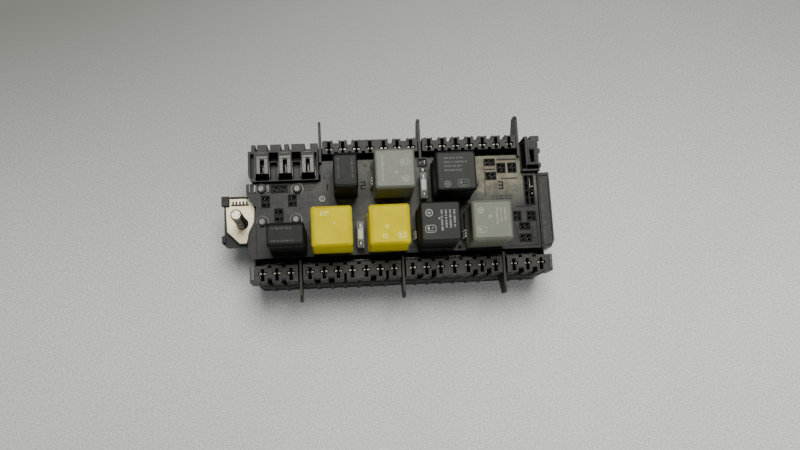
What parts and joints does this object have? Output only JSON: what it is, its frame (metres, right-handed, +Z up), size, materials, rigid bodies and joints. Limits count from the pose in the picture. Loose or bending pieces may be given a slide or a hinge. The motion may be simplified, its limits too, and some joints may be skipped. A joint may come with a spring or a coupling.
{
  "type": "vehicle fuse and relay box",
  "caption": "Vehicle fuse and relay box with plug-in cube relays on a deck between two rails of blade-fuse ways, guide fins and a battery stud terminal.",
  "frame": {"origin": "centre of the footprint of the whole object, on the surface it rests on", "axes": "+X along the two fuse rails towards the end away from the battery stud, +Y towards the rail with two groups of fuse ways, +Z up out of the relay deck"},
  "size_m": [0.2426, 0.1324, 0.086],
  "materials": {
    "housing_black": "fine moulded",
    "rail_black": "fine moulded, dusty",
    "deck_grey": "moulded black with a film of dust",
    "yellow_cap": "satin",
    "black_cap": "satin",
    "grey_cap": "satin",
    "pale_grey_cap": "satin",
    "relay_base": "moulded, blades moulded in",
    "fuse_clear": "clear moulded",
    "contact_tin": "tin plated",
    "plate_tin": "yellowed tin plate",
    "coil_copper": "enamelled wire on an iron yoke"
  },
  "bodies": {
    "root": {"battery_stud": "contact_tin", "bottom_cover": "housing_black", "carrier_plate": "housing_black", "connector_insert_right": "housing_black", "end_cover": "deck_grey", "feed_busbar": "contact_tin", "front_contact_comb": "contact_tin", "front_fuse_block_1": "rail_black", "front_fuse_block_2": "rail_black", "front_fuse_block_3": "rail_black", "front_fuse_block_4": "rail_black", "front_guide_fin_left": "rail_black", "front_guide_fin_middle": "rail_black", "front_guide_fin_right": "rail_black", "harness_socket_block": "housing_black", "lower_housing": "housing_black", "maxi_contact_left": "contact_tin", "maxi_contact_right": "contact_tin", "maxi_fuse_block": "rail_black", "maxi_fuse_holder_right": "rail_black", "rear_contact_comb": "contact_tin", "rear_fuse_block_1": "rail_black", "rear_fuse_block_2": "rail_black", "rear_guide_fin_left": "rail_black", "rear_guide_fin_middle": "rail_black", "rear_guide_fin_right": "rail_black", "relay_deck": "deck_grey", "socket_insert_front_right": "housing_black", "socket_insert_left": "housing_black", "socket_insert_rear_right": "housing_black", "terminal_bracket": "housing_black", "terminal_plate": "plate_tin"},
    "fuse_front": {"fuse_front_body": "fuse_clear", "fuse_front_link": "contact_tin"},
    "fuse_rear": {"fuse_rear_body": "fuse_clear", "fuse_rear_link": "contact_tin"},
    "relay_black_front": {"relay_black_front_base": "relay_base", "relay_black_front_cap": "black_cap", "relay_black_front_coil": "coil_copper"},
    "relay_black_rear": {"relay_black_rear_base": "relay_base", "relay_black_rear_cap": "black_cap", "relay_black_rear_coil": "coil_copper"},
    "relay_grey_rear": {"relay_grey_rear_base": "relay_base", "relay_grey_rear_cap": "grey_cap", "relay_grey_rear_coil": "coil_copper"},
    "relay_pale_grey": {"relay_pale_grey_base": "relay_base", "relay_pale_grey_cap": "pale_grey_cap", "relay_pale_grey_coil": "coil_copper"},
    "relay_slim_front": {"relay_slim_front_base": "relay_base", "relay_slim_front_cap": "black_cap", "relay_slim_front_coil": "coil_copper"},
    "relay_slim_rear": {"relay_slim_rear_base": "relay_base", "relay_slim_rear_cap": "black_cap", "relay_slim_rear_coil": "coil_copper"},
    "relay_yellow_left": {"relay_yellow_left_base": "relay_base", "relay_yellow_left_cap": "yellow_cap", "relay_yellow_left_coil": "coil_copper"},
    "relay_yellow_right": {"relay_yellow_right_base": "relay_base", "relay_yellow_right_cap": "yellow_cap", "relay_yellow_right_coil": "coil_copper"}
  },
  "joints": [
    {"name": "fuse_front_lift", "type": "slide", "parent": "root", "child": "fuse_front", "axis": [0, 0, 1], "range_m": [0, 0.045]},
    {"name": "fuse_rear_lift", "type": "slide", "parent": "root", "child": "fuse_rear", "axis": [0, 0, 1], "range_m": [0, 0.045]},
    {"name": "relay_black_front_lift", "type": "slide", "parent": "root", "child": "relay_black_front", "axis": [0, 0, 1], "range_m": [0, 0.05]},
    {"name": "relay_black_rear_lift", "type": "slide", "parent": "root", "child": "relay_black_rear", "axis": [0, 0, 1], "range_m": [0, 0.05]},
    {"name": "relay_grey_rear_lift", "type": "slide", "parent": "root", "child": "relay_grey_rear", "axis": [0, 0, 1], "range_m": [0, 0.05]},
    {"name": "relay_pale_grey_lift", "type": "slide", "parent": "root", "child": "relay_pale_grey", "axis": [0, 0, 1], "range_m": [0, 0.05]},
    {"name": "relay_slim_front_lift", "type": "slide", "parent": "root", "child": "relay_slim_front", "axis": [0, 0, 1], "range_m": [0, 0.05]},
    {"name": "relay_slim_rear_lift", "type": "slide", "parent": "root", "child": "relay_slim_rear", "axis": [0, 0, 1], "range_m": [0, 0.05]},
    {"name": "relay_yellow_left_lift", "type": "slide", "parent": "root", "child": "relay_yellow_left", "axis": [0, 0, 1], "range_m": [0, 0.05]},
    {"name": "relay_yellow_right_lift", "type": "slide", "parent": "root", "child": "relay_yellow_right", "axis": [0, 0, 1], "range_m": [0, 0.05]}
  ]
}
